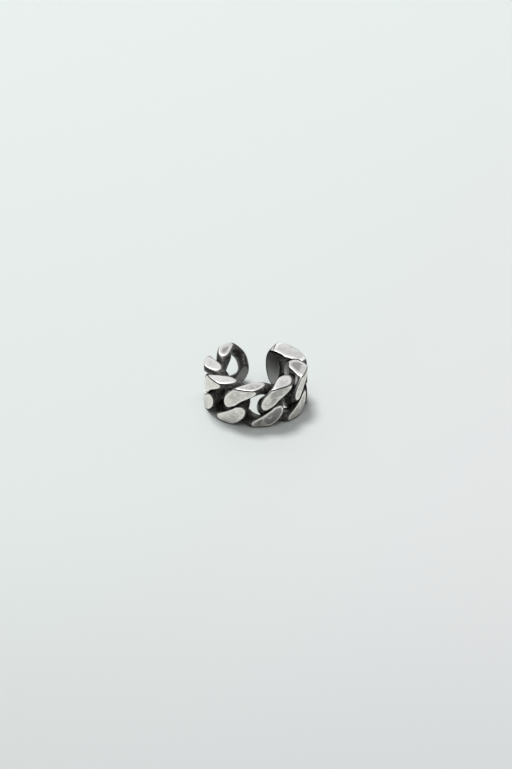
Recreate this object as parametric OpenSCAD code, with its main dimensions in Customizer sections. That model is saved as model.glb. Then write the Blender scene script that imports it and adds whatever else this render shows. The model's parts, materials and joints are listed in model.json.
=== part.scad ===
// Ear cuff: an open ring of seven twisted curb links, ground flat outside, inside and on both sides.
// The ring's axis is Z. It stands on its lower ground side at Z = 0, and its opening faces +Y.

/* [Ring] */
// Inside diameter, between the ground faces
inner_d = 8.9; // [8.7:0.1:11]
// Thickness of the ring, from its ground inside to its ground outside
wall = 2.55; // [2.3:0.05:2.8]
// Width of the ring, between its two ground sides
ring_w = 5.76; // [5.4:0.02:6.1]
// How far the links' middle circle lies outside the middle of the wall
chain_shift = 0.11; // [0:0.01:0.25]
// Opening between the ends of the chain, along the links' middle circle
opening = 2.2; // [1.8:0.1:3]

/* [Links] */
// Width of one link before it is ground, outside to outside
link_w = 6.44; // [6.2:0.02:6.8]
// Thickness of the wire, through the link
wire_t = 1.98; // [1.7:0.02:2.1]
// Width of the wire, in the plane of the link
wire_w = 1.62; // [1.4:0.02:1.7]
// Twist of each end of a link away from its middle, in degrees
twist = 50; // [42:1:54]
// How far two neighbours could still be drawn apart along the middle circle
link_play = 0.14; // [0.12:0.01:0.3]
// Seam that is left where the right end link closes round its neighbour
seam = 0.16; // [0.14:0.01:0.2]

/* [Wire] */
// Straightness of a link's long sides: 1 is an oval, and less is straighter
side_form = 0.8; // [0.7:0.01:1]
// Number of sections along a link's wire
stations = 60; // [48:4:64]
// Number of corners in a section of the wire
wire_sides = 14; // [10:2:16]

/* [Hidden] */
NODES = ["end_link_left", "link_2", "link_3", "link_4", "link_5", "link_6", "end_link_right"];
$fn = 120;
past = 1;
link_count = len(NODES);
inner_r = inner_d / 2;
outer_r = inner_r + wall;
chain_r = inner_r + wall / 2 + chain_shift;
// Two neighbours share two widths of wire and the play, and the links fill the circle up to the opening
shared = 2 * wire_w + link_play;
link_l = (2 * PI * chain_r - opening + (link_count - 1) * shared) / link_count;
reach_along = (link_l - wire_w) / 2;
reach_across = (link_w - wire_w) / 2;
pitch = (link_l - shared) / chain_r * 180 / PI;

// The columns of a form table. The angle goes round the link: 0 at its right end as seen from outside the
// ring, 90 on top. Thick, wide, along, across and twist are shares of the plain link's sizes there. Round is
// the exponent of the section, 1 for an oval and less for a rounded box. Full pushes the corners of the link
// outward, and held keeps the section along the link's own thickness instead of square to the wire.
FORM_COLUMNS = ["angle", "thick", "wide", "along", "across", "twist", "round", "full", "held"];
// The plain links: broad leaf-shaped bends outside the ring, and drawn-out ones inside it
plain_form = [
    [-180, 1, 1, 1, 1, 1, 1, 0, 0],
    [-168, 1, 1, 1, 1, 1, 1, 0, 0],
    [-145, 1, 1, 1.13, 1.03, 1, 0.95, 0, 0],
    [-112, 1, 1, 1, 1, 1, 1, 0, 0],
    [-85, 1.12, 1.1, 1, 1, 1.1, 0.95, 0, 0],
    [-50, 0.94, 1.2, 1, 0.98, 1.08, 0.85, 0, 0],
    [-25, 0.96, 1.15, 0.98, 1, 1, 0.9, 0, 0],
    [-8, 0.86, 1, 1, 1, 1, 1, 0, 0],
    [12, 1, 1, 1, 1, 1, 1, 0, 0],
    [35, 1, 1, 1.14, 1.04, 1, 0.95, 0, 0],
    [68, 1.12, 1, 1, 1, 1, 1, 0, 0],
    [98, 1.18, 1.05, 1, 1.04, 1.1, 1, 0, 0],
    [125, 1.05, 1.2, 1, 1.06, 1.05, 0.85, 0, 0],
    [148, 1, 1.2, 0.97, 0.98, 1, 0.9, 0, 0],
    [168, 1, 1, 1, 1, 1, 1, 0, 0],
    [180, 1, 1, 1, 1, 1, 1, 0, 0],
];
// The left end link: a slimmer, shorter free end over a heavier lower bend
left_form = [
    [-180, 1.12, 0.9, 0.94, 1, 1, 1, 0, 0],
    [-150, 1.22, 0.9, 0.95, 1, 1, 1, 0, 0],
    [-110, 1.2, 1, 1, 1, 1, 1, 0, 0],
    [-60, 1, 1, 1, 1, 1, 1, 0, 0],
    [80, 1, 1, 1, 1, 1, 1, 0, 0],
    [118, 1, 0.95, 0.98, 1.08, 1, 0.9, 0, 0],
    [150, 1.05, 0.9, 0.95, 1.02, 1, 1, 0, 0],
    [180, 1.12, 0.9, 0.94, 1, 1, 1, 0, 0],
];
// The link before the right end: its top right bend is heavier
sixth_form = [
    [-180, 1, 1, 1, 1, 1, 1, 0, 0],
    [-15, 1, 1, 1, 1, 1, 1, 0, 0],
    [30, 1.25, 1, 1, 1.06, 1, 0.85, 0, 0],
    [100, 1.25, 1, 1, 1.08, 1, 0.8, 0, 0],
    [125, 1.1, 1, 1, 1.12, 1, 0.8, 0, 0],
    [145, 1, 1, 1, 1.06, 1, 0.9, 0, 0],
    [168, 1, 1, 1, 1, 1, 1, 0, 0],
    [180, 1, 1, 1, 1, 1, 1, 0, 0],
];
// The right end link: a full, blocky top and free end with little twist, on a plain lower bend
right_form = [
    [-180, 1, 1, 1, 1, 1, 1, 0, 0],
    [-130, 1.3, 1, 1, 1, 0.8, 0.85, 0, 0.8],
    [-50, 1.75, 1.25, 0.74, 1.04, 0.2, 0.65, 0.09, 1],
    [0, 1.75, 1.65, 0.66, 1.08, 0.15, 0.55, 0.06, 1],
    [50, 1.85, 1.2, 0.79, 1.12, 0.2, 0.6, 0.1, 1],
    [100, 1.85, 1.25, 0.86, 1.12, 0.45, 0.6, 0.08, 1],
    [155, 1.6, 1, 1, 1.2, 0.9, 0.65, 0.07, 0.7],
    [180, 1, 1, 1, 1, 1, 1, 0, 0],
];

// The columns of a section of the wire
SECTION_COLUMNS = ["middle", "through", "side", "half_t", "half_w", "round"];

function in_form(row, column) = row[search([column], FORM_COLUMNS)[0]];
function in_section(section, column) = section[search([column], SECTION_COLUMNS)[0]];
function unit(v) = v / norm(v);
function eased(x) = x * x * (3 - 2 * x);
function signed_pow(x, exponent) = sign(x) * pow(abs(x), exponent);

// The row of a form table at an angle, eased between the rows on either side of it
function row_at(form, angle) =
    let (
        n = max([for (k = [0:len(form) - 2]) if (in_form(form[k], "angle") <= angle) k]),
        low = in_form(form[n], "angle"),
        high = in_form(form[n + 1], "angle"),
        between = form[n] + (form[n + 1] - form[n]) * eased((angle - low) / (high - low))
    )
    [for (column = FORM_COLUMNS) column == "angle" ? angle : in_form(between, column)];

function fuller(row) = 1 + in_form(row, "full") * pow(sin(2 * in_form(row, "angle")), 2);
function tilt_at(row) = twist * in_form(row, "twist") * cos(in_form(row, "angle"));
function azimuth_at(row, place) =
    let (along = reach_along * in_form(row, "along") * fuller(row) * cos(in_form(row, "angle")))
    (place - (link_count + 1) / 2) * pitch + along / chain_r * 180 / PI;

// A point on the middle line of the wire of the link at a place in the ring
function middle_at(row, place) =
    let (
        azimuth = azimuth_at(row, place),
        share = in_form(row, "across") * fuller(row),
        across = reach_across * share * signed_pow(sin(in_form(row, "angle")), side_form),
        r = chain_r - across * sin(tilt_at(row))
    )
    [r * sin(azimuth), -r * cos(azimuth), ring_w / 2 + across * cos(tilt_at(row))];

// The direction through the link's thickness, outward and tilted by the twist
function out_at(row, place) =
    let (azimuth = azimuth_at(row, place), flat = cos(tilt_at(row)))
    [sin(azimuth) * flat, -cos(azimuth) * flat, sin(tilt_at(row))];

// The sections of one link's wire, in order round the link
function sections(form, place) =
    let (
        rows = [for (n = [0:stations - 1]) row_at(form, (n + 0.5) * 360 / stations - 180)],
        middles = [for (row = rows) middle_at(row, place)]
    )
    [for (n = [0:stations - 1])
        let (
            run = unit(middles[(n + 1) % stations] - middles[(n + stations - 1) % stations]),
            out = out_at(rows[n], place),
            through = unit(out - run * (out * run) * (1 - in_form(rows[n], "held")))
        )
        [
            middles[n],
            through,
            unit(cross(run, through)),
            wire_t * in_form(rows[n], "thick") / 2,
            wire_w * in_form(rows[n], "wide") / 2,
            in_form(rows[n], "round"),
        ]];

// From a section's middle to one of its corners
function corner(section, k) =
    let (a = (k + 0.5) * 360 / wire_sides, round = in_section(section, "round"))
    in_section(section, "through") * in_section(section, "half_t") * signed_pow(cos(a), round)
    + in_section(section, "side") * in_section(section, "half_w") * signed_pow(sin(a), round);

// True for a point that keeps the seam's width from a wire, judged in the wire's nearest section
function is_clear(point, wire) =
    let (
        distances = [for (section = wire) norm(point - in_section(section, "middle"))],
        near = wire[search(min(distances), distances)[0]],
        away = point - in_section(near, "middle"),
        t = abs(away * in_section(near, "through")) / (in_section(near, "half_t") + seam),
        w = abs(away * in_section(near, "side")) / (in_section(near, "half_w") + seam),
        power = 2 / in_section(near, "round")
    )
    pow(t, power) + pow(w, power) > 1;

// The share of the way from a middle to a corner that stays clear of a wire, found in ever finer steps
function clear_share(middle, to_corner, wire, share = 0, step = 0.1) =
    share + step > 1 ? 1
    : is_clear(middle + to_corner * (share + step), wire) ? clear_share(middle, to_corner, wire, share + step, step)
    : step < 0.005 ? share
    : clear_share(middle, to_corner, wire, share, step / 3);

// The closed wire of one link, before it is ground. Where it would meet the wire clear_of, it keeps the seam.
module wire_loop(wire, clear_of = []) {
    points = [for (section = wire, k = [0:wire_sides - 1])
        let (middle = in_section(section, "middle"), to_corner = corner(section, k))
        middle + to_corner * (clear_of == [] ? 1 : clear_share(middle, to_corner, clear_of))];
    faces = [for (n = [0:stations - 1], k = [0:wire_sides - 1])
        let (
            a = n * wire_sides + k,
            b = n * wire_sides + (k + 1) % wire_sides,
            c = (n + 1) % stations * wire_sides + (k + 1) % wire_sides,
            d = (n + 1) % stations * wire_sides + k
        )
        each [[a, b, c], [a, c, d]]];
    polyhedron(points, faces);
}

// The ring that the grinding leaves
module ground_ring() {
    difference() {
        cylinder(r = outer_r, h = ring_w);
        translate([0, 0, -past])
            cylinder(r = inner_r, h = ring_w + 2 * past);
    }
}

module plain_link(place) {
    intersection() {
        ground_ring();
        wire_loop(sections(plain_form, place));
    }
}

module end_link_left() {
    color("dimgray")
        intersection() {
            ground_ring();
            wire_loop(sections(left_form, 1));
        }
}

module link_2() {
    color("dimgray") plain_link(2);
}

module link_3() {
    color("dimgray") plain_link(3);
}

module link_4() {
    color("dimgray") plain_link(4);
}

module link_5() {
    color("dimgray") plain_link(5);
}

module link_6() {
    color("dimgray")
        intersection() {
            ground_ring();
            wire_loop(sections(sixth_form, link_count - 1));
        }
}

module end_link_right() {
    color("silver")
        intersection() {
            ground_ring();
            wire_loop(sections(right_form, link_count), clear_of = sections(sixth_form, link_count - 1));
        }
}

end_link_left();
link_2();
link_3();
link_4();
link_5();
link_6();
end_link_right();
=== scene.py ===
"""Ear cuff of seven curb links: blackened silver wire with bright ground flats, lying on a pale floor.

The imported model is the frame. Each of its links is replaced by the same form in fine sections, with rounded
edges where the grinding meets the wire. Lengths inside the surface functions, and in the tables and named
numbers that they read, are in millimetres.
"""

import json
import math

import bpy
import numpy as np
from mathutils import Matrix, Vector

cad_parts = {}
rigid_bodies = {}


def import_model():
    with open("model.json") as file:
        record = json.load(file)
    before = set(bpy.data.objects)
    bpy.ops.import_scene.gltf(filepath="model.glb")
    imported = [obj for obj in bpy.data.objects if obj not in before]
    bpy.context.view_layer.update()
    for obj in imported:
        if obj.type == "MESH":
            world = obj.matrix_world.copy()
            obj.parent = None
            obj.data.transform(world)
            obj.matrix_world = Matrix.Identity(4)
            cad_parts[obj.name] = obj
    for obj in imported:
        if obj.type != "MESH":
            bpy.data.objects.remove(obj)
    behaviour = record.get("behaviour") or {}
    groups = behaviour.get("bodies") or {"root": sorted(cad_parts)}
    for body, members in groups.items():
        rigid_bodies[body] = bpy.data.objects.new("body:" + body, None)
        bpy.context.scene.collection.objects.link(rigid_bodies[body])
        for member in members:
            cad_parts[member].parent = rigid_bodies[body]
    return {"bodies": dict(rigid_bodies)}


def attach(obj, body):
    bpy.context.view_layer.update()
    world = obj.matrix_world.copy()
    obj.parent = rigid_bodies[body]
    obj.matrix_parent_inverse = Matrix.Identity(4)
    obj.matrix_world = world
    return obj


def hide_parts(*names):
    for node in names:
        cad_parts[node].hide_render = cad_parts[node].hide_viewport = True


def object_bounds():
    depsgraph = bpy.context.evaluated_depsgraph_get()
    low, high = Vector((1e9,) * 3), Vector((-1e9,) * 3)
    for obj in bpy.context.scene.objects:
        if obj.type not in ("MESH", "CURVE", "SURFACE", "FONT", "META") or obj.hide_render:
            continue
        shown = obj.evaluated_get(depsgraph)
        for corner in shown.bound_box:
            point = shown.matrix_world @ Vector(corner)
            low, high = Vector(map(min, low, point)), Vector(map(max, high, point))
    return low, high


bl_info = {
    "name": "Curb link ear cuff",
    "version": (1, 0, 0),
    "blender": (4, 5, 0),
    "location": "View3D > Sidebar > Ear cuff",
    "description": "Makes the links of an open ear cuff, its finish, and a small studio round it",
    "category": "Object",
}

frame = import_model()
cad_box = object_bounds()
MM = 0.001
BODY = next(iter(frame["bodies"]))
RING_WIDTH = cad_box[1].z - cad_box[0].z
OUTSIDE = cad_box[1].x - cad_box[0].x

# The columns of a form table. The angle goes round the link: 0 at its right end as seen from outside the
# ring, 90 on top. Thick, wide, along, across and twist are shares of the plain link's sizes there. Round is
# the exponent of the section, 1 for an oval and less for a rounded box. Full pushes the corners of the link
# outward, and held keeps the section along the link's own thickness instead of square to the wire.
FORM_COLUMNS = ("angle", "thick", "wide", "along", "across", "twist", "round", "full", "held")
# The plain links: broad leaf-shaped bends outside the ring, and drawn-out ones inside it
PLAIN_FORM = (
    (-180, 1, 1, 1, 1, 1, 1, 0, 0),
    (-168, 1, 1, 1, 1, 1, 1, 0, 0),
    (-145, 1, 1, 1.13, 1.03, 1, 0.95, 0, 0),
    (-112, 1, 1, 1, 1, 1, 1, 0, 0),
    (-85, 1.12, 1.1, 1, 1, 1.1, 0.95, 0, 0),
    (-50, 0.94, 1.2, 1, 0.98, 1.08, 0.85, 0, 0),
    (-25, 0.96, 1.15, 0.98, 1, 1, 0.9, 0, 0),
    (-8, 0.86, 1, 1, 1, 1, 1, 0, 0),
    (12, 1, 1, 1, 1, 1, 1, 0, 0),
    (35, 1, 1, 1.14, 1.04, 1, 0.95, 0, 0),
    (68, 1.12, 1, 1, 1, 1, 1, 0, 0),
    (98, 1.18, 1.05, 1, 1.04, 1.1, 1, 0, 0),
    (125, 1.05, 1.2, 1, 1.06, 1.05, 0.85, 0, 0),
    (148, 1, 1.2, 0.97, 0.98, 1, 0.9, 0, 0),
    (168, 1, 1, 1, 1, 1, 1, 0, 0),
    (180, 1, 1, 1, 1, 1, 1, 0, 0),
)
# The left end link: a slimmer, shorter free end over a heavier lower bend
LEFT_FORM = (
    (-180, 1.12, 0.9, 0.94, 1, 1, 1, 0, 0),
    (-150, 1.22, 0.9, 0.95, 1, 1, 1, 0, 0),
    (-110, 1.2, 1, 1, 1, 1, 1, 0, 0),
    (-60, 1, 1, 1, 1, 1, 1, 0, 0),
    (80, 1, 1, 1, 1, 1, 1, 0, 0),
    (118, 1, 0.95, 0.98, 1.08, 1, 0.9, 0, 0),
    (150, 1.05, 0.9, 0.95, 1.02, 1, 1, 0, 0),
    (180, 1.12, 0.9, 0.94, 1, 1, 1, 0, 0),
)
# The link before the right end: its top right bend is heavier
SIXTH_FORM = (
    (-180, 1, 1, 1, 1, 1, 1, 0, 0),
    (-15, 1, 1, 1, 1, 1, 1, 0, 0),
    (30, 1.25, 1, 1, 1.06, 1, 0.85, 0, 0),
    (100, 1.25, 1, 1, 1.08, 1, 0.8, 0, 0),
    (125, 1.1, 1, 1, 1.12, 1, 0.8, 0, 0),
    (145, 1, 1, 1, 1.06, 1, 0.9, 0, 0),
    (168, 1, 1, 1, 1, 1, 1, 0, 0),
    (180, 1, 1, 1, 1, 1, 1, 0, 0),
)
# The right end link: a full, blocky top and free end with little twist, on a plain lower bend
RIGHT_FORM = (
    (-180, 1, 1, 1, 1, 1, 1, 0, 0),
    (-130, 1.3, 1, 1, 1, 0.8, 0.85, 0, 0.8),
    (-50, 1.75, 1.25, 0.74, 1.04, 0.2, 0.65, 0.09, 1),
    (0, 1.75, 1.65, 0.66, 1.08, 0.15, 0.55, 0.06, 1),
    (50, 1.85, 1.2, 0.79, 1.12, 0.2, 0.6, 0.1, 1),
    (100, 1.85, 1.25, 0.86, 1.12, 0.45, 0.6, 0.08, 1),
    (155, 1.6, 1, 1, 1.2, 0.9, 0.65, 0.07, 0.7),
    (180, 1, 1, 1, 1, 1, 1, 0, 0),
)
# The nodes of the frame, each with its place in the chain from the left
LEFT_LINK = ("end_link_left", 1)
PLAIN_LINKS = (("link_2", 2), ("link_3", 3), ("link_4", 4), ("link_5", 5))
SIXTH_LINK = ("link_6", 6)
RIGHT_LINK = ("end_link_right", 7)
LINK_COUNT = 7

# How a link's finish differs from its neighbours'. Offset moves its patterns. Crescent is how far the dark
# band reaches down from the rim inside the ring, and tone is the painted brightness of the inner flats,
# painted shade inside the ring. Side, upper and lower are how strongly the side flats, and the outer flats
# above and below the middle of the ring, are darkened: partly real tarnish, partly painted shade for how the
# light and the floor's shadow fall on them. Strip is the brightness of the worn strip beside the upper outer
# flat, and rim how deep the bright rim goes, partly polish and partly painted highlight.
LOOK_COLUMNS = ("offset", "crescent", "tone", "side", "upper", "lower", "strip", "rim")
LOOKS = {
    "end_link_left": (7, 0.2, 0.7, 1.3, 0.4, 0.4, 0.0, 0.09),
    "link_2": (14, 0.2, 1.0, 0.35, 0.4, 0.4, 0.3, 0.09),
    "link_3": (21, 0.2, 1.0, 0.25, 0.15, 0.4, 0.2, 0.09),
    "link_4": (28, 0.2, 1.0, 1.5, 0.45, 1.8, 0.6, 0.09),
    "link_5": (44, 0.2, 1.0, 0.5, 0.8, 0.7, 1.0, 0.09),
    "link_6": (42, 0.2, 2.8, 1.1, 0.4, 0.5, 0.7, 0.09),
    "end_link_right": (49, 0.5, 0.9, 0.4, 0.4, 0.4, 0.0, 0.5),
}
# Painted highlights on the wire, standing in for glints of light: the middle of each, its reach along X, Y
# and Z, and how bright it is
PAINTED_GLINTS = {
    "link_6": (((3.92, -3.0, 1.6), (0.3, 0.6, 0.7), 0.45), ((5.42, -2.8, 5.15), (0.5, 0.9, 0.85), 1.0)),
}
# The crease on top of the right end link's free end: a point of it, the way that it runs, and how far the
# face beyond it falls, in degrees. The dark line along it reaches CREASE_LINE to both sides, and the face
# beyond is fully bright CREASE_FADE from it.
CREASE = ((2.47, 5.73), (-0.33, -1.85), 16)
CREASE_LINE = 0.14
CREASE_FADE = 0.1

# The distance given to a ray that meets nothing, the least climb with which a ray meets the plane beyond the
# crease, and the least square of a ray's level part, so that nothing is divided by 0
FAR = 1e3
LEAST_CLIMB = 1e-6
LEAST_FLAT = 1e-9
# Points round a section while it is cut, before they are spaced evenly
SECTION_POINTS = 480
# How deep inside the ring's surfaces a section's pivot lies, and how far at most from the wire's middle, as a
# share of the wire's half sizes
PIVOT_DEPTH = 0.55
PIVOT_SHARE = 0.6
# How a ray's meeting with another wire is found: only where it ends within WIRE_REACH of the box round that
# wire's middle line, in equal steps, and then by halving the last one
WIRE_REACH = 1.8
SEARCH_STEPS = 14
HALVINGS = 7
# How far the wire's skin stood past a ground surface where the grinding begins to show, and where it is whole
GROUND_EDGE = (-0.015, 0.03)
# How far to either side of the middle of the wall the inner flats' finish fades into the outer flats'
WALL_FADE = 0.1
# The worn strip: its four fades round the link, in degrees, the sine round the section from which it shows,
# and its four fades by how far outside the ring it lies
STRIP_ANGLES = (98, 112, 145, 165)
STRIP_SINE = (0.1, 0.4)
STRIP_OUTSIDE = (-0.26, -0.2, -0.12, -0.07)

# The noise of the finish, in features to a metre: grinding lines and their stretch along the ring, clouds of
# tarnish and spots of worn coat, partly painted sheen on the wire, with the values between which they rise,
# and fine pits
GRAIN = {"Fineness": 9000.0, "Stretch": 0.1}
CLOUDS = {"Scale": 800.0, "Low": 0.38, "High": 0.62}
SPOTS = {"Scale": 2200.0, "Low": 0.5, "High": 0.68}
PITS = 9000.0
# The ramps of the finish, by what they give and the mark that they read: from the mark's first value to its
# second, the result runs from the third number to the fourth. The marks are named in surface_marks.
RAMPS = {
    "side flat by corner": (-0.01, 0.01, 0.0, 1.0),
    "tarnish by depth": (0.06, 0.4, 0.0, 1.0),
    "tarnish by clouds": (0.0, 1.0, 0.35, 1.0),
    "tarnish by lines": (0.42, 0.66, 0.0, 0.4),
    "inner flat by corner": (0.0, -0.02, 0.0, 1.0),
    "inner light by height": (4.6, 1.0, 0.0, 0.7),
    "inner light by lines": (0.3, 0.7, 0.0, 0.35),
    "worn coat and sheen by depth": (-0.3, 0.0, 0.0, 1.0),
    "worn coat and sheen by pits": (0.2, 0.8, 0.1, 0.4),
    "metal by ground": (0.0, 1.0, 0.35, 1.0),
    "gloss by lines": (0.3, 0.7, -0.06, 0.1),
    "gloss by pits": (0.3, 0.7, -0.08, 0.12),
}
# The heights between which the lower outer flats' darkening gives way to the upper ones': painted shade, set
# per link, for the floor's shadow that the low flats mirror
MIDDLE_HEIGHTS = (2.4, 3.2)
# How bright a rim's painted highlight is at its very edge, how much lighter than their darkest the inner
# flats are painted towards the floor, and how strong the spots on the wire are, partly worn coat and partly
# painted sheen
RIM_STRENGTH = 0.8
INNER_RANGE = 2.4
SPOT_STRENGTH = 0.8
# Along the corner mark: the four fades of the dark line under an outer rim, the two upper ones of the
# crescent under an inner rim, and the share of the crescent's reach up to which it is whole
EDGE_LINE = (-0.26, -0.2, -0.07, -0.02)
CRESCENT_TOP = (-0.06, 0.0)
CRESCENT_CORE = 0.6
# A painted highlight's distance from its middle, as a share of its reach, within which it has its full
# strength
GLINT_CORE = 0.35
RELIEF_STRENGTH = 0.3
RELIEF_DEPTH = 0.02

IMAGE_SIZE = (512, 769)
# Where the middle of the ring lies in the photograph, in its pixels
RING_IN_IMAGE = (255.7, 382.89)
SENSOR = 36.0
# The soft boxes, which all face the ring: name, setting of its power, place and side, in metres
LIGHTS = (
    ("Key light", "key", (-0.25, 0.5, 1.13), 0.36),
    ("Top light", "top", (0.04, -0.16, 1.2), 1.0),
    ("Back light", "back", (-0.3, 1.3, 0.8), 1.0),
)
ROOM_TONE = (0.99, 1, 1, 1)
# The floor, in metres: half its side, how much its tone's change follows Y beside X, the X where it changes,
# and the Y from which painted shade darkens it towards the camera
FLOOR_HALF = 1.5
FLOOR_SLANT = 0.35
FLOOR_CHANGE = (-0.02, 0.06)
FLOOR_NEAR_SHADE = (-0.02, -0.11)


def length(name, description, millimetres):
    """A length that a user would change, given in millimetres."""
    return bpy.props.FloatProperty(
        name=name,
        description=description,
        default=millimetres * MM,
        min=0,
        subtype="DISTANCE",
        unit="LENGTH",
    )


def angle(name, description, degrees):
    """An angle that a user would change, given in degrees."""
    return bpy.props.FloatProperty(
        name=name, description=description, default=math.radians(degrees), subtype="ANGLE"
    )


def share(name, description, value):
    """A share from 0 to 1."""
    return bpy.props.FloatProperty(name=name, description=description, default=value, min=0, max=1)


def power(name, description, watts):
    """The power of a light, in watts."""
    return bpy.props.FloatProperty(name=name, description=description, default=watts, unit="POWER")


def colour(name, description, value):
    """A colour, as red, green and blue shares of light."""
    return bpy.props.FloatVectorProperty(
        name=name, description=description, default=value, size=3, min=0, max=1, subtype="COLOR"
    )


class CuffSizes(bpy.types.PropertyGroup):
    """Sizes of the ring and its links."""

    wall: length("Wall", "Thickness of the ring, from its ground inside to its ground outside", 2.55)
    chain_shift: length("Chain shift", "How far the links' circle lies outside the wall's middle", 0.11)
    opening: length("Opening", "Opening between the ends of the chain, along the links' circle", 2.2)
    link_width: length("Link width", "Width of a link before it is ground", 6.44)
    wire_thickness: length("Wire thickness", "Thickness of the wire, through the link", 1.98)
    wire_width: length("Wire width", "Width of the wire, in the plane of the link", 1.62)
    twist: angle("Twist", "Twist of each end of a link", 50)
    link_play: length("Play", "How far two neighbours could be drawn apart", 0.14)
    side_form: share("Side form", "Straightness of a link's long sides", 0.8)
    seam: length("Seam", "Dark line left where the right end link closes round its neighbour", 0.1)
    edge: length("Edge rounding", "Width of the rounding where the grinding meets the wire", 0.22)
    sections: bpy.props.IntProperty(
        name="Sections", description="Sections along a link's wire", default=400
    )
    corners: bpy.props.IntProperty(name="Corners", description="Points round a section", default=120)


class CuffFinish(bpy.types.PropertyGroup):
    """Colours and gloss of the silver and of its blackening, and of the light and shade painted on them."""

    # Rims: polished edges, and also the colour of the painted highlights along the flats' rims and of the
    # painted glints on the wire
    rim: colour("Rims", "Polished metal along the edges of the flats", (0.98, 0.97, 0.955))
    silver: colour("Side flats", "Brushed metal of the flats on the ring's sides", (0.755, 0.75, 0.745))
    outer: colour("Outer flats", "Brushed metal of the flats outside the ring", (1.0, 0.955, 0.9))
    # The tarnish colour also carries painted shade: each link's side, upper and lower amounts darken its
    # flats for how the light and the floor's shadow fall on them
    tarnish_and_shade: colour("Tarnish", "Greyer clouds on the flats", (0.292, 0.283, 0.274))
    # The inner flats' colour is painted shade inside the ring; inner_flats paints them lighter towards the
    # floor
    inside: colour("Inner flats", "Darker metal of the flats inside the ring", (0.15, 0.147, 0.144))
    oxide: colour("Blackening", "Dark coat on the wire", (0.048, 0.045, 0.042))
    # Rubbed wire is also the colour of painted sheen on the wire
    rubbed_and_sheen: colour("Rubbed wire", "Wire where the dark coat has worn thin", (0.24, 0.228, 0.215))
    silver_gloss: share("Flats' roughness", "Roughness of the ground flats", 0.32)
    oxide_gloss: share("Wire's roughness", "Roughness of the blackened wire", 0.36)


class CuffStage(bpy.types.PropertyGroup):
    """The view, the light and the floor."""

    azimuth: angle("Azimuth", "Camera's turn round the ring", 2.73)
    elevation: angle("Elevation", "Camera's height", 30.56)
    distance: length("Distance", "From the camera to the ring", 500)
    pixels_per_mm: bpy.props.FloatProperty(
        name="Scale", description="Image pixels to a millimetre at the ring", default=7.41
    )
    floor: colour("Floor behind", "Pale floor at the back and left", (0.728, 0.778, 0.757))
    floor_front: colour("Floor in front", "Pale floor at the front and right", (0.757, 0.766, 0.77))
    # Painted shade: the floor is darkened towards the camera
    floor_near_shaded: colour("Floor near the camera", "Pale floor at the picture's bottom", (0.655, 0.68, 0.68))
    sky: bpy.props.FloatProperty(
        name="Room light", description="Light of the pale room all round", default=0.27
    )
    key: power("Key light", "Soft box at the back left", 10.6)
    top: power("Top light", "Wide soft box overhead", 2.7)
    back: power("Back light", "Low soft box behind", 2.0)


def signed_power(x, exponent):
    """The size of x to an exponent, with the sign of x."""
    return np.sign(x) * np.abs(x) ** exponent


def dot(a, b):
    """The product of two rows of vectors, as a column."""
    return (a * b).sum(-1, keepdims=True)


def unit(v):
    """Each vector at length 1."""
    return v / np.linalg.norm(v, axis=-1, keepdims=True)


def eased(x):
    """From 0 to 1 with level ends: three squares less two cubes."""
    return x * x * (3 - 2 * x)


def smooth_step(low, high, x):
    """0 up to low, 1 from high on, and eased between."""
    return eased(np.clip((x - low) / (high - low), 0, 1))


def band(fades, x):
    """1 between the second fade and the third, easing to 0 at the first and the fourth."""
    start, whole, still_whole, end = fades
    return smooth_step(start, whole, x) * (1 - smooth_step(still_whole, end, x))


def rounded_min(a, b, width):
    """The smaller of a and b, with a parabola of the given width across the place where they cross."""
    mix = np.clip(0.5 + 0.5 * (b - a) / width, 0, 1)
    return b + (a - b) * mix - width * mix * (1 - mix)


def ring_of(sizes):
    """The ring's radii and width, and what follows from them for the links.

    Two neighbours share two widths of wire and the play, and the links fill the circle up to the opening.
    """
    ring = {"outer": OUTSIDE / MM / 2, "width": RING_WIDTH / MM}
    ring["inner"] = ring["outer"] - sizes.wall / MM
    ring["chain"] = (ring["outer"] + ring["inner"]) / 2 + sizes.chain_shift / MM
    shared = (2 * sizes.wire_width + sizes.link_play) / MM
    circle = 2 * math.pi * ring["chain"] - sizes.opening / MM
    link_length = (circle + (LINK_COUNT - 1) * shared) / LINK_COUNT
    ring["along"] = (link_length - sizes.wire_width / MM) / 2
    ring["across"] = (sizes.link_width - sizes.wire_width) / MM / 2
    ring["pitch"] = (link_length - shared) / ring["chain"]
    return ring


def form_at(form, angles):
    """Each column of a form table at these angles, eased between the rows on either side."""
    table = np.array(form, float)
    low = np.clip(np.searchsorted(table[:, 0], angles, "right") - 1, 0, len(table) - 2)
    part = eased((angles - table[low, 0]) / (table[low + 1, 0] - table[low, 0]))
    between = table[low] + (table[low + 1] - table[low]) * part[:, None]
    return dict(zip(FORM_COLUMNS, between.T))


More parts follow.
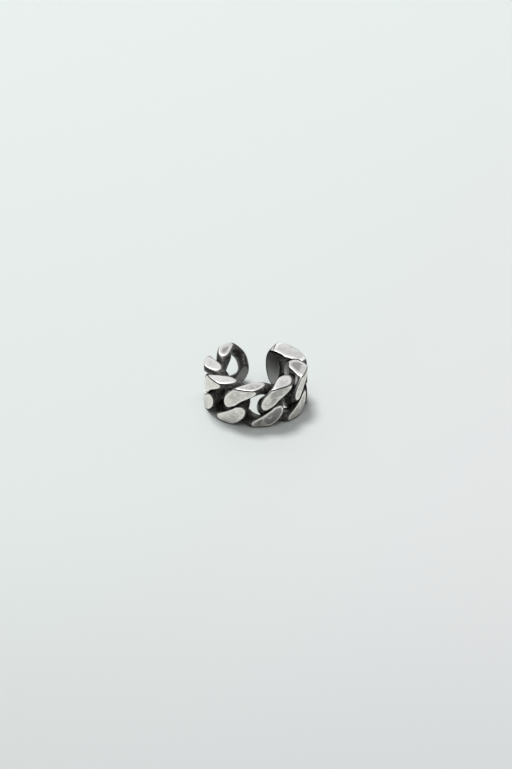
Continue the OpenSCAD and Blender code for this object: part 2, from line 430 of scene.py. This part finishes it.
def wire_sections(sizes, form, place, count):
    """The sections of a link's wire, in order round the link.

    The middle line goes along the ring by a cosine and across it by a sine that is flattened by side_form.
    It is twisted by the cosine too, so one side of each end leans outward and the other inward. Through is
    the direction of the wire's thickness, and side that of its width.
    """
    ring = ring_of(sizes)
    angles = (np.arange(count) + 0.5) * 360 / count - 180
    row = form_at(form, angles)
    turn = np.radians(angles)
    fuller = 1 + row["full"] * np.sin(2 * turn) ** 2
    along = ring["along"] * row["along"] * fuller * np.cos(turn)
    across = ring["across"] * row["across"] * fuller * signed_power(np.sin(turn), sizes.side_form)
    tilt = sizes.twist * row["twist"] * np.cos(turn)
    azimuth = (place - (LINK_COUNT + 1) / 2) * ring["pitch"] + along / ring["chain"]
    radius = ring["chain"] - across * np.sin(tilt)
    height = ring["width"] / 2 + across * np.cos(tilt)
    middle = np.stack([radius * np.sin(azimuth), -radius * np.cos(azimuth), height], -1)
    level = np.cos(tilt)
    out = np.stack([np.sin(azimuth) * level, -np.cos(azimuth) * level, np.sin(tilt)], -1)
    run = unit(np.roll(middle, -1, 0) - np.roll(middle, 1, 0))
    through = unit(out - run * dot(out, run) * (1 - row["held"])[:, None])
    return {
        "angles": angles,
        "middle": middle,
        "through": through,
        "side": unit(np.cross(run, through)),
        "half_t": row["thick"] * sizes.wire_thickness / MM / 2,
        "half_w": row["wide"] * sizes.wire_width / MM / 2,
        "round": row["round"],
    }


def section_turns(count):
    """Even angles round a section, in radians."""
    return np.arange(count) * 2 * np.pi / count


def outline(wire, count):
    """Points round every section: cosine through the wire, sine across it, both to the section's exponent."""
    turn = section_turns(count)
    exponent = wire["round"][:, None]
    through = wire["half_t"][:, None] * signed_power(np.cos(turn), exponent)
    side = wire["half_w"][:, None] * signed_power(np.sin(turn), exponent)
    from_middle = wire["through"][:, None] * through[..., None] + wire["side"][:, None] * side[..., None]
    return wire["middle"][:, None] + from_middle


def pivots(wire, ring):
    """A point inside each section and well inside the ring, from which all of its outline is seen.

    It is the middle of the section, moved PIVOT_DEPTH inside the ring's surfaces and then back to within
    PIVOT_SHARE of the section's half sizes.
    """
    middle = wire["middle"]
    radius = np.hypot(middle[:, 0], middle[:, 1])
    deeper = np.clip(radius, ring["inner"] + PIVOT_DEPTH, ring["outer"] - PIVOT_DEPTH) / radius
    height = np.clip(middle[:, 2], PIVOT_DEPTH, ring["width"] - PIVOT_DEPTH)
    shift = np.stack([middle[:, 0] * deeper, middle[:, 1] * deeper, height], -1) - middle
    through = dot(shift, wire["through"])[:, 0] / wire["half_t"]
    side = dot(shift, wire["side"])[:, 0] / wire["half_w"]
    limit = PIVOT_SHARE / np.maximum(np.hypot(through, side), PIVOT_SHARE)
    through = (through * limit * wire["half_t"])[:, None]
    side = (side * limit * wire["half_w"])[:, None]
    return middle + wire["through"] * through + wire["side"] * side


def ring_reach(pivot, ray, ring):
    """How far each ray, of length 1, goes from its pivot to each of the ring's two planes and two cylinders.

    A plane lies at the height left over the ray's climb. A cylinder lies at the root of the quadratic that
    the squared distance from the axis makes.
    """
    climb = ray[..., 2]
    height = np.broadcast_to(pivot[..., 2], climb.shape)
    with np.errstate(divide="ignore", invalid="ignore"):
        up = np.where(climb > 0, (ring["width"] - height) / climb, FAR)
        down = np.where(climb < 0, -height / climb, FAR)
        flat = np.maximum((ray[..., :2] ** 2).sum(-1), LEAST_FLAT)
        lean = (ray[..., :2] * pivot[..., :2]).sum(-1)
        far2 = (pivot[..., :2] ** 2).sum(-1)
        outward = (-lean + np.sqrt(lean**2 - flat * (far2 - ring["outer"] ** 2))) / flat
        seen = lean**2 - flat * (far2 - ring["inner"] ** 2)
        inward = np.where((seen > 0) & (lean < 0), (-lean - np.sqrt(np.maximum(seen, 0))) / flat, FAR)
    return [np.minimum(x, FAR) for x in (up, down, outward, inward)]


def plane_reach(pivot, ray, point, normal):
    """How far each ray goes to a plane: its pivot's distance from the plane over the ray's climb to it."""
    climb = (ray * normal).sum(-1)
    drop = ((point - pivot) * normal).sum(-1)
    return np.where(climb > LEAST_CLIMB, drop / np.maximum(climb, LEAST_CLIMB), FAR)


def over_ring(points, ring):
    """How far each point lies past the ring's sides, its outside and its inside. Less than 0 is within."""
    radius = np.hypot(points[..., 0], points[..., 1])
    sides = np.maximum(points[..., 2] - ring["width"], -points[..., 2])
    return sides, radius - ring["outer"], ring["inner"] - radius


def is_clear(points, wire, seam):
    """True for points outside a wire that is grown by the seam, judged in the wire's nearest section."""
    middle = wire["middle"]
    near = ((middle**2).sum(1) - 2 * points @ middle.T).argmin(1)
    away = points - middle[near]
    through = np.abs((away * wire["through"][near]).sum(1)) / (wire["half_t"][near] + seam)
    side = np.abs((away * wire["side"][near]).sum(1)) / (wire["half_w"][near] + seam)
    exponent = 2 / wire["round"][near]
    return through**exponent + side**exponent > 1


def reach_to_wire(pivot, ray, limit, wire, seam):
    """How far each ray goes before it meets another wire: found in equal steps, then by halving the last."""
    reach = np.full(limit.shape, FAR)
    middle = wire["middle"]
    low, high = middle.min(0) - WIRE_REACH, middle.max(0) + WIRE_REACH
    ends = pivot + ray * limit[..., None]
    close = ((ends > low) & (ends < high)).all(-1)
    start, way, far = np.broadcast_to(pivot, ray.shape)[close], ray[close], limit[close]
    clear_to = np.zeros(len(far))
    open_way = np.ones(len(far), bool)
    for step in range(1, SEARCH_STEPS + 1):
        test = far * step / SEARCH_STEPS
        free = is_clear(start + way * test[:, None], wire, seam)
        clear_to = np.where(open_way & free, test, clear_to)
        open_way &= free
    blocked = ~open_way
    below, above = clear_to[blocked], clear_to[blocked] + far[blocked] / SEARCH_STEPS
    for _ in range(HALVINGS):
        half = (below + above) / 2
        free = is_clear(start[blocked] + way[blocked] * half[:, None], wire, seam)
        below, above = np.where(free, half, below), np.where(free, above, half)
    found = np.full(len(far), FAR)
    found[blocked] = below
    reach[close] = found
    return reach


def even_points(points, values, count):
    """Divides each closed section evenly by its length, and carries the values along."""
    rows = np.arange(len(points))[:, None]
    closed = np.concatenate([points, points[:, :1]], 1)
    steps = np.linalg.norm(np.diff(closed, axis=1), axis=2)
    run = np.concatenate([np.zeros((len(points), 1)), np.cumsum(steps, 1)], 1)
    run /= run[:, -1:]
    per_row = closed.shape[1]
    index = rows * per_row + np.arange(per_row)
    wanted = rows + (np.arange(count) + 0.5) / count
    place = np.interp(wanted.ravel(), (rows + run).ravel(), index.ravel())
    low = np.floor(place).astype(int)
    part = place - low

    def between(array):
        flat = array.reshape(len(index) * per_row, -1)
        return flat[low] + (flat[low + 1] - flat[low]) * part[:, None]

    carried = {n: between(np.concatenate([v, v[:, :1]], 1))[:, 0] for n, v in values.items()}
    return between(closed), carried


def crease_plane(ring):
    """The plane that falls away beyond the crease: (a point of it, its upward normal)."""
    (x, y), (run_x, run_y), fall = CREASE
    run = math.hypot(run_x, run_y)
    slope = math.radians(fall)
    normal = np.array([run_y / run * math.sin(slope), -run_x / run * math.sin(slope), math.cos(slope)])
    return np.array([x, y, ring["width"]]), normal


def worn_strip(angles, outside):
    """Strength of the strip on the wire's outer side, close to where the upper outer flat begins."""
    along = band(STRIP_ANGLES, angles)[:, None]
    beyond = smooth_step(*STRIP_SINE, np.sin(section_turns(SECTION_POINTS)))
    return along * beyond * band(STRIP_OUTSIDE, outside)


def ground_link(sizes, form, place, clear_of=None, crease=None):
    """One link as the grinding leaves it: (points, faces, values of each point).

    From a pivot in each section, the outline is drawn in to the nearest of the wire's own surface, the
    ring's planes and cylinders, the plane beyond the crease, and the seam to a neighbour, with the meeting
    edges rounded.
    """
    ring = ring_of(sizes)
    wire = wire_sections(sizes, form, place, sizes.sections)
    raw = outline(wire, SECTION_POINTS)
    pivot = pivots(wire, ring)[:, None]
    ray = raw - pivot
    full = np.linalg.norm(ray, axis=-1)
    ray /= full[..., None]
    edge = sizes.edge / MM
    limits = ring_reach(pivot, ray, ring)
    if crease is not None:
        limits.append(plane_reach(pivot, ray, *crease))
    cut = np.full(full.shape, FAR)
    for reach in limits:
        cut = rounded_min(cut, np.minimum(reach, FAR), edge)
    kept = rounded_min(full, cut, edge)
    sides, outside, inside = over_ring(raw, ring)
    past = np.maximum(np.maximum(sides, outside), inside)
    if clear_of is not None:
        neighbour = wire_sections(sizes, *clear_of, sizes.sections)
        reach = reach_to_wire(pivot, ray, np.minimum(full, cut), neighbour, sizes.seam / MM)
        past = np.where(reach < cut, reach - cut, past)
        kept = rounded_min(kept, reach, edge)
    final = pivot + ray * kept[..., None]
    sides, outside, inside = over_ring(final, ring)
    values = {
        "ground": smooth_step(*GROUND_EDGE, past),
        "depth": np.clip(past, -1, 1),
        "corner": sides - np.maximum(outside, inside),
        "inside": smooth_step(-WALL_FADE, WALL_FADE, inside - outside),
        "strip": worn_strip(wire["angles"], outside),
    }
    points, values = even_points(final, values, sizes.corners)
    return points * MM, tube_faces(sizes.sections, sizes.corners), values


def tube_faces(sections, corners):
    """Four-sided faces of a tube that closes on itself both ways, facing outward."""
    n, k = np.meshgrid(np.arange(sections), np.arange(corners), indexing="ij")
    n2, k2 = (n + 1) % sections, (k + 1) % corners
    faces = [n * corners + k, n * corners + k2, n2 * corners + k2, n2 * corners + k]
    return np.stack(faces, -1).reshape(-1, 4)


def mesh_object(name, points, faces, values):
    """A smooth mesh object at the origin, with each value as an attribute of its points."""
    a, b, c = points[faces[:, 0]], points[faces[:, 1]], points[faces[:, 2]]
    if (np.cross(a, b) * c).sum() < 0:
        faces = faces[:, ::-1]
    mesh = bpy.data.meshes.new(name)
    mesh.vertices.add(len(points))
    mesh.vertices.foreach_set("co", points.astype(np.float32).ravel())
    mesh.loops.add(faces.size)
    mesh.loops.foreach_set("vertex_index", faces.astype(np.int32).ravel())
    mesh.polygons.add(len(faces))
    mesh.polygons.foreach_set("loop_start", np.arange(0, faces.size, 4, dtype=np.int32))
    mesh.update(calc_edges=True)
    mesh.shade_smooth()
    for value, numbers in values.items():
        made = mesh.attributes.new(value, "FLOAT", "POINT")
        made.data.foreach_set("value", numbers.astype(np.float32))
    mesh.validate()
    piece = bpy.data.objects.new(name, mesh)
    bpy.context.scene.collection.objects.link(piece)
    return piece


def feed(tree, socket, value):
    """Links a socket to another node's output, or sets it to a number or to a colour of three numbers."""
    if isinstance(value, bpy.types.NodeSocket):
        tree.links.new(value, socket)
    elif isinstance(value, (int, float)):
        socket.default_value = value
    else:
        socket.default_value = (*value, 1)


def math_node(tree, operation, a, b, clamp=False):
    """The result of a Math node on two numbers or sockets."""
    node = tree.nodes.new("ShaderNodeMath")
    node.operation = operation
    node.use_clamp = clamp
    feed(tree, node.inputs[0], a)
    feed(tree, node.inputs[1], b)
    return node.outputs[0]


def map_range(tree, value, low, high, to_low=0.0, to_high=1.0):
    """An eased ramp over a value: to_low where it is low, and to_high where it is high."""
    node = tree.nodes.new("ShaderNodeMapRange")
    node.interpolation_type = "SMOOTHSTEP"
    ends = {"Value": value, "From Min": low, "From Max": high, "To Min": to_low, "To Max": to_high}
    for name, end in ends.items():
        feed(tree, node.inputs[name], end)
    return node.outputs["Result"]


def ramp(tree, mark, name, scale=1.0):
    """A ramp of RAMPS over a mark that is measured in units of the given scale."""
    low, high, to_low, to_high = RAMPS[name]
    return map_range(tree, mark, low * scale, high * scale, to_low, to_high)


def band_mask(tree, mark, fades, scale=1.0):
    """1 where a mark is between the second fade and the third, easing to 0 at the first and the fourth."""
    start, whole, still_whole, end = (fade * scale for fade in fades)
    rise = map_range(tree, mark, start, whole)
    return math_node(tree, "MULTIPLY", rise, map_range(tree, mark, end, still_whole))


def noise(tree, vector, scale, detail, roughness):
    """Even noise round a half."""
    node = tree.nodes.new("ShaderNodeTexNoise")
    settings = {"Vector": vector, "Scale": scale, "Detail": detail, "Roughness": roughness}
    for name, value in settings.items():
        feed(tree, node.inputs[name], value)
    return node.outputs["Fac"]


def mix_value(tree, factor, a, b):
    """A number between a and b, by a factor."""
    node = tree.nodes.new("ShaderNodeMix")
    for index, value in ((0, factor), (2, a), (3, b)):
        feed(tree, node.inputs[index], value)
    return node.outputs[0]


def mix_colour(tree, factor, a, b):
    """A colour between a and b, by a factor."""
    node = tree.nodes.new("ShaderNodeMix")
    node.data_type = "RGBA"
    for index, value in ((0, factor), (6, a), (7, b)):
        feed(tree, node.inputs[index], value)
    return node.outputs[2]


def new_group(name, inputs, output):
    """An empty shader node group: (group, its input node, its output node)."""
    group = bpy.data.node_groups.new(name, "ShaderNodeTree")
    group.interface.new_socket("Vector", in_out="INPUT", socket_type="NodeSocketVector")
    for socket, default in inputs.items():
        made = group.interface.new_socket(socket, in_out="INPUT", socket_type="NodeSocketFloat")
        made.default_value = default
    group.interface.new_socket(output, in_out="OUTPUT", socket_type="NodeSocketFloat")
    return group, group.nodes.new("NodeGroupInput"), group.nodes.new("NodeGroupOutput")


def grinding_group():
    """Fine lines that the grinding leaves, drawn out along the ring, as a mask round a half.

    Noise is read at the place's angle round the ring, made short by the stretch, its radius and its height.
    """
    group, given, result = new_group("Grinding lines", GRAIN, "Lines")
    split = group.nodes.new("ShaderNodeSeparateXYZ")
    group.links.new(given.outputs["Vector"], split.inputs[0])
    x, y = split.outputs["X"], split.outputs["Y"]
    squares = math_node(group, "ADD", math_node(group, "POWER", x, 2.0), math_node(group, "POWER", y, 2.0))
    radius = math_node(group, "POWER", squares, 0.5)
    turn = math_node(group, "ARCTAN2", x, math_node(group, "MULTIPLY", y, -1.0))
    around = math_node(group, "MULTIPLY", turn, cad_box[1].x)
    around = math_node(group, "MULTIPLY", around, given.outputs["Stretch"])
    join = group.nodes.new("ShaderNodeCombineXYZ")
    for value, socket in ((around, "X"), (radius, "Y"), (split.outputs["Z"], "Z")):
        group.links.new(value, join.inputs[socket])
    lines = noise(group, join.outputs[0], given.outputs["Fineness"], 4.0, 0.6)
    group.links.new(lines, result.inputs["Lines"])
    return group


def patches_group():
    """Soft uneven patches, such as tarnish or worn places: noise, ramped from 0 to 1 between two values."""
    group, given, result = new_group("Uneven patches", CLOUDS, "Patches")
    uneven = noise(group, given.outputs["Vector"], given.outputs["Scale"], 3.0, 0.55)
    patches = map_range(group, uneven, given.outputs["Low"], given.outputs["High"])
    group.links.new(patches, result.inputs["Patches"])
    return group


def place_group(tree, name, make, vector, values):
    """Puts a shared group, made when it is first asked for, in a material: its only output."""
    node = tree.nodes.new("ShaderNodeGroup")
    node.node_tree = bpy.data.node_groups.get(name) or make()
    tree.links.new(vector, node.inputs["Vector"])
    for socket, value in values.items():
        node.inputs[socket].default_value = value
    return node.outputs[0]


def attribute(tree, name):
    """An attribute of the mesh's points, by its name."""
    node = tree.nodes.new("ShaderNodeAttribute")
    node.attribute_name = name
    return node.outputs["Fac"]


def height_of(tree, coordinates):
    """Height over the floor, in metres."""
    split = tree.nodes.new("ShaderNodeSeparateXYZ")
    tree.links.new(coordinates, split.inputs[0])
    return split.outputs["Z"]


def surface_marks(tree, look):
    """What the finish goes by: values of the mesh, places on the link, and patterns.

    Ground is 1 on the flats. Depth is how far the wire stood past a ground surface. Inside is 1 on the inner
    half of the wall. Corner is how far a point lies past the ring's sides, less how far past its outside or
    inside. Strip is 1 on the worn strip. Object is the place on the cuff, and height its height, in metres.
    """
    coordinates = tree.nodes.new("ShaderNodeTexCoord").outputs["Object"]
    moved = tree.nodes.new("ShaderNodeMapping")
    moved.inputs["Location"].default_value = (look["offset"] * MM, look["offset"] * MM, 0)
    tree.links.new(coordinates, moved.inputs["Vector"])
    place = moved.outputs[0]
    marks = {name: attribute(tree, name) for name in ("ground", "depth", "inside", "corner", "strip")}
    marks["object"] = coordinates
    marks["height"] = height_of(tree, coordinates)
    marks["lines"] = place_group(tree, "Grinding lines", grinding_group, coordinates, GRAIN)
    marks["clouds"] = place_group(tree, "Uneven patches", patches_group, place, CLOUDS)
    marks["spots"] = place_group(tree, "Uneven patches", patches_group, place, SPOTS)
    marks["pits"] = noise(tree, place, PITS, 3.0, 0.6)
    return marks


def side_and_outer_flats(tree, marks, finish, look):
    """Colour of the flats on the ring's sides and outside: brushed metal with tarnish and painted shade
    inward from rims that are brightened as painted highlights.
    """
    side = ramp(tree, marks["corner"], "side flat by corner")
    flat = mix_colour(tree, side, finish.outer, finish.silver)
    low, high = (height * MM for height in MIDDLE_HEIGHTS)
    # Painted shade: how strongly the flats are darkened is set per link and by height, for how the light and
    # the floor's shadow fall on them
    amount = map_range(tree, marks["height"], low, high, look["lower"], look["upper"])
    amount = mix_value(tree, side, amount, look["side"])
    deep = ramp(tree, marks["depth"], "tarnish by depth")
    clouded = math_node(tree, "MULTIPLY", deep, ramp(tree, marks["clouds"], "tarnish by clouds"))
    clouded = math_node(tree, "MULTIPLY", clouded, amount, clamp=True)
    flat = mix_colour(tree, clouded, flat, finish.tarnish_and_shade)
    flat = mix_colour(tree, ramp(tree, marks["lines"], "tarnish by lines"), flat, finish.tarnish_and_shade)
    # Painted highlight: the flats brightened towards their rims, over the polish of the edges, as deep as
    # each link's rim setting
    rim = map_range(tree, marks["depth"], 0.0, look["rim"], RIM_STRENGTH, 0.0)
    return mix_colour(tree, rim, flat, finish.rim)


def creased(tree, marks, flat, finish, crease):
    """Darkens the side flat along the crease, and brightens it beyond."""
    point, normal = crease
    away = unit(np.array([normal[0], normal[1], 0]))
    product = tree.nodes.new("ShaderNodeVectorMath")
    product.operation = "DOT_PRODUCT"
    tree.links.new(marks["object"], product.inputs[0])
    product.inputs[1].default_value = away
    past = math_node(tree, "SUBTRACT", product.outputs["Value"], float(point @ away) * MM)
    flat = mix_colour(tree, map_range(tree, past, 0.0, CREASE_FADE * MM), flat, finish.rim)
    line = band_mask(tree, past, (-CREASE_LINE, 0.0, 0.0, CREASE_LINE), MM)
    return mix_colour(tree, line, flat, finish.oxide)


def inner_flats(tree, marks, finish, look):
    """Colour of the flats inside the ring: painted shade, dark metal, painted lighter towards the floor, and
    lighter along the lines.
    """
    light = math_node(
        tree,
        "ADD",
        ramp(tree, marks["height"], "inner light by height", MM),
        ramp(tree, marks["lines"], "inner light by lines"),
        clamp=True,
    )
    dark = [part * look["tone"] for part in finish.inside]
    return mix_colour(tree, light, dark, [part * INNER_RANGE for part in dark])


def dark_edges(tree, marks, inside, look):
    """Darker marks on the flats: a line under outer rims, and a crescent under inner ones."""
    line = band_mask(tree, marks["corner"], EDGE_LINE)
    reach = -look["crescent"]
    crescent = band_mask(tree, marks["corner"], (reach, CRESCENT_CORE * reach, *CRESCENT_TOP))
    return mix_value(tree, inside, line, crescent)


def coated_wire(tree, marks, finish):
    """Colour of the dark coat, lighter towards the flats and in spots: partly coat worn thin, partly painted
    sheen.
    """
    worn = math_node(
        tree,
        "MULTIPLY",
        ramp(tree, marks["depth"], "worn coat and sheen by depth"),
        ramp(tree, marks["pits"], "worn coat and sheen by pits"),
    )
    # The spots are partly worn coat and partly painted sheen
    spots = math_node(tree, "MULTIPLY", marks["spots"], SPOT_STRENGTH)
    return mix_colour(tree, math_node(tree, "MAXIMUM", worn, spots), finish.oxide, finish.rubbed_and_sheen)


def painted_glint_mask(tree, coordinates, middle, reach, strength):
    """A painted highlight on the wire: a soft spot with its strength round its middle, and 0 at its reach
    along each axis and beyond.
    """
    place = tree.nodes.new("ShaderNodeMapping")
    place.inputs["Location"].default_value = [-m / r for m, r in zip(middle, reach)]
    place.inputs["Scale"].default_value = [1 / (r * MM) for r in reach]
    tree.links.new(coordinates, place.inputs["Vector"])
    size = tree.nodes.new("ShaderNodeVectorMath")
    size.operation = "LENGTH"
    tree.links.new(place.outputs[0], size.inputs[0])
    return map_range(tree, size.outputs["Value"], 1.0, GLINT_CORE, 0.0, strength)


def gloss(tree, marks, finish):
    """Roughness of the flats, uneven by their lines, and of the wire, uneven by its pits."""
    flats = math_node(tree, "ADD", ramp(tree, marks["lines"], "gloss by lines"), finish.silver_gloss)
    wire = math_node(tree, "ADD", ramp(tree, marks["pits"], "gloss by pits"), finish.oxide_gloss)
    return mix_value(tree, marks["ground"], wire, flats)


def relief(tree, marks):
    """The normal over fine lines and pits."""
    bump = tree.nodes.new("ShaderNodeBump")
    bump.inputs["Strength"].default_value = RELIEF_STRENGTH
    bump.inputs["Distance"].default_value = RELIEF_DEPTH * MM
    both = math_node(tree, "ADD", marks["lines"], marks["pits"])
    tree.links.new(math_node(tree, "MULTIPLY", both, 0.5), bump.inputs["Height"])
    return bump.outputs[0]


def silver_material(name, finish, look, painted_glints, crease):
    """Blackened silver with bright ground flats, in the finish of one row of LOOKS, with painted shade,
    highlights and glints.
    """
    material = bpy.data.materials.new(name)
    material.use_nodes = True
    tree = material.node_tree
    shader = tree.nodes["Principled BSDF"]
    marks = surface_marks(tree, look)

    flats = side_and_outer_flats(tree, marks, finish, look)
    if crease is not None:
        flats = creased(tree, marks, flats, finish, crease)
    off_rim = ramp(tree, marks["corner"], "inner flat by corner")
    inside = math_node(tree, "MULTIPLY", marks["inside"], off_rim)
    flats = mix_colour(tree, inside, flats, inner_flats(tree, marks, finish, look))
    flats = mix_colour(tree, dark_edges(tree, marks, inside, look), flats, finish.oxide)

    bright = math_node(tree, "MULTIPLY", marks["strip"], look["strip"])
    metal = math_node(tree, "MAXIMUM", marks["ground"], bright)
    # Painted highlights: glints of light painted on the wire in the rim colour
    for middle, reach, strength in painted_glints:
        spot = painted_glint_mask(tree, marks["object"], middle, reach, strength)
        bright = math_node(tree, "MAXIMUM", bright, spot)
    wire = mix_colour(tree, bright, coated_wire(tree, marks, finish), finish.rim)

    tree.links.new(mix_colour(tree, marks["ground"], wire, flats), shader.inputs["Base Color"])
    tree.links.new(ramp(tree, metal, "metal by ground"), shader.inputs["Metallic"])
    tree.links.new(gloss(tree, marks, finish), shader.inputs["Roughness"])
    tree.links.new(relief(tree, marks), shader.inputs["Normal"])
    shader.inputs["Specular IOR Level"].default_value = 0.4
    return material


def dress(name, made, crease=None):
    """Makes a link's piece in its finish, in place of its node in the frame."""
    piece = mesh_object(name + "_ground", *made)
    finish = bpy.context.scene.cuff_finish
    look = dict(zip(LOOK_COLUMNS, LOOKS[name]))
    material = silver_material(f"Silver of {name}", finish, look, PAINTED_GLINTS.get(name, ()), crease)
    piece.data.materials.append(material)
    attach(piece, BODY)
    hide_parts(name)


class CUFF_OT_plain_links(bpy.types.Operator):
    """Make the four equal links"""

    bl_idname = "cuff.plain_links"
    bl_label = "Plain links"

    def execute(self, context):
        for name, place in PLAIN_LINKS:
            dress(name, ground_link(context.scene.cuff_sizes, PLAIN_FORM, place))
        return {"FINISHED"}


class CUFF_OT_left_link(bpy.types.Operator):
    """Make the slim link at the left end"""

    bl_idname = "cuff.left_link"
    bl_label = "Left end link"

    def execute(self, context):
        name, place = LEFT_LINK
        dress(name, ground_link(context.scene.cuff_sizes, LEFT_FORM, place))
        return {"FINISHED"}


class CUFF_OT_right_links(bpy.types.Operator):
    """Make the heavy link at the right end and its neighbour"""

    bl_idname = "cuff.right_links"
    bl_label = "Right end links"

    def execute(self, context):
        sizes = context.scene.cuff_sizes
        name, place = SIXTH_LINK
        dress(name, ground_link(sizes, SIXTH_FORM, place))
        neighbour = (SIXTH_FORM, place)
        name, place = RIGHT_LINK
        crease = crease_plane(ring_of(sizes))
        dress(name, ground_link(sizes, RIGHT_FORM, place, neighbour, crease), crease)
        return {"FINISHED"}


def floor_material(stage):
    """Smooth pale board, faintly green at the back and left, greyer at the front and right, and darkened
    towards the camera as painted shade.
    """
    material = bpy.data.materials.new("Pale floor")
    material.use_nodes = True
    tree = material.node_tree
    shader = tree.nodes["Principled BSDF"]
    split = tree.nodes.new("ShaderNodeSeparateXYZ")
    tree.links.new(tree.nodes.new("ShaderNodeTexCoord").outputs["Object"], split.inputs[0])
    x, y = split.outputs["X"], split.outputs["Y"]
    slant = math_node(tree, "SUBTRACT", x, math_node(tree, "MULTIPLY", y, FLOOR_SLANT))
    tone = mix_colour(tree, map_range(tree, slant, *FLOOR_CHANGE), stage.floor, stage.floor_front)
    tone = mix_colour(tree, map_range(tree, y, *FLOOR_NEAR_SHADE), tone, stage.floor_near_shaded)
    tree.links.new(tone, shader.inputs["Base Color"])
    shader.inputs["Roughness"].default_value = 0.7
    shader.inputs["Specular IOR Level"].default_value = 0.2
    return material


def add_floor(stage):
    """The floor, a square round the ring in the plane that it lies on."""
    half = FLOOR_HALF
    mesh = bpy.data.meshes.new("Floor")
    corners = [(-half, -half, 0), (half, -half, 0), (half, half, 0), (-half, half, 0)]
    mesh.from_pydata(corners, [], [(0, 1, 2, 3)])
    mesh.materials.append(floor_material(stage))
    floor = bpy.data.objects.new("Floor", mesh)
    bpy.context.scene.collection.objects.link(floor)


def add_soft_box(name, place, side, watts):
    """A square soft box that faces the middle of the floor."""
    light = bpy.data.lights.new(name, "AREA")
    light.size = side
    light.energy = watts
    made = bpy.data.objects.new(name, light)
    made.location = place
    made.rotation_euler = (-Vector(place)).to_track_quat("-Z", "Y").to_euler()
    bpy.context.scene.collection.objects.link(made)


def add_room(stage):
    """The even light of a pale room."""
    world = bpy.data.worlds.new("Soft room")
    world.use_nodes = True
    background = world.node_tree.nodes["Background"]
    background.inputs["Color"].default_value = ROOM_TONE
    background.inputs["Strength"].default_value = stage.sky
    bpy.context.scene.world = world


def add_camera(stage):
    """A camera at the photograph's angle, aimed so that the ring's middle falls on its place in the image."""
    azimuth, elevation = stage.azimuth, stage.elevation
    back = Vector((
        math.sin(azimuth) * math.cos(elevation),
        -math.cos(azimuth) * math.cos(elevation),
        math.sin(elevation),
    ))
    right = Vector((math.cos(azimuth), math.sin(azimuth), 0))
    up = back.cross(right)
    centre = Vector((0, 0, RING_WIDTH / 2))
    across = (IMAGE_SIZE[0] / 2 - RING_IN_IMAGE[0]) / stage.pixels_per_mm * MM
    below = (IMAGE_SIZE[1] / 2 - RING_IN_IMAGE[1]) / stage.pixels_per_mm * MM
    camera = bpy.data.cameras.new("Camera")
    camera.sensor_width = SENSOR
    camera.lens = stage.pixels_per_mm / MM * stage.distance * SENSOR / IMAGE_SIZE[1]
    camera.clip_start = 0.01
    made = bpy.data.objects.new("Camera", camera)
    made.location = centre + right * across - up * below + back * stage.distance
    made.rotation_euler = back.to_track_quat("Z", "Y").to_euler()
    bpy.context.scene.collection.objects.link(made)
    bpy.context.scene.camera = made


class CUFF_OT_stage(bpy.types.Operator):
    """Make the camera, the soft light and the pale floor"""

    bl_idname = "cuff.stage"
    bl_label = "Studio"

    def execute(self, context):
        stage = context.scene.cuff_stage
        add_camera(stage)
        add_floor(stage)
        for name, setting, place, side in LIGHTS:
            add_soft_box(name, place, side, getattr(stage, setting))
        add_room(stage)
        context.scene.view_settings.view_transform = "Standard"
        return {"FINISHED"}


class CUFF_PT_panel(bpy.types.Panel):
    """Sizes, finish and studio of the ear cuff"""

    bl_idname = "CUFF_PT_panel"
    bl_label = "Ear cuff"
    bl_space_type = "VIEW_3D"
    bl_region_type = "UI"
    bl_category = "Ear cuff"

    def draw(self, context):
        for settings in SETTINGS:
            group = getattr(context.scene, settings)
            box = self.layout.box()
            for name in group.__annotations__:
                box.prop(group, name)
        for operator in ORDER:
            self.layout.operator(operator)


SETTINGS = {"cuff_sizes": CuffSizes, "cuff_finish": CuffFinish, "cuff_stage": CuffStage}
ORDER = ("cuff.stage", "cuff.plain_links", "cuff.left_link", "cuff.right_links")
CLASSES = (
    CuffSizes,
    CuffFinish,
    CuffStage,
    CUFF_OT_plain_links,
    CUFF_OT_left_link,
    CUFF_OT_right_links,
    CUFF_OT_stage,
    CUFF_PT_panel,
)


def register():
    for cls in CLASSES:
        bpy.utils.register_class(cls)
    for name, group in SETTINGS.items():
        setattr(bpy.types.Scene, name, bpy.props.PointerProperty(type=group))


def unregister():
    for name in SETTINGS:
        delattr(bpy.types.Scene, name)
    for cls in reversed(CLASSES):
        bpy.utils.unregister_class(cls)


def main():
    register()
    for operator in ORDER:
        group, name = operator.split(".")
        getattr(getattr(bpy.ops, group), name)()


if __name__ == "__main__":
    main()
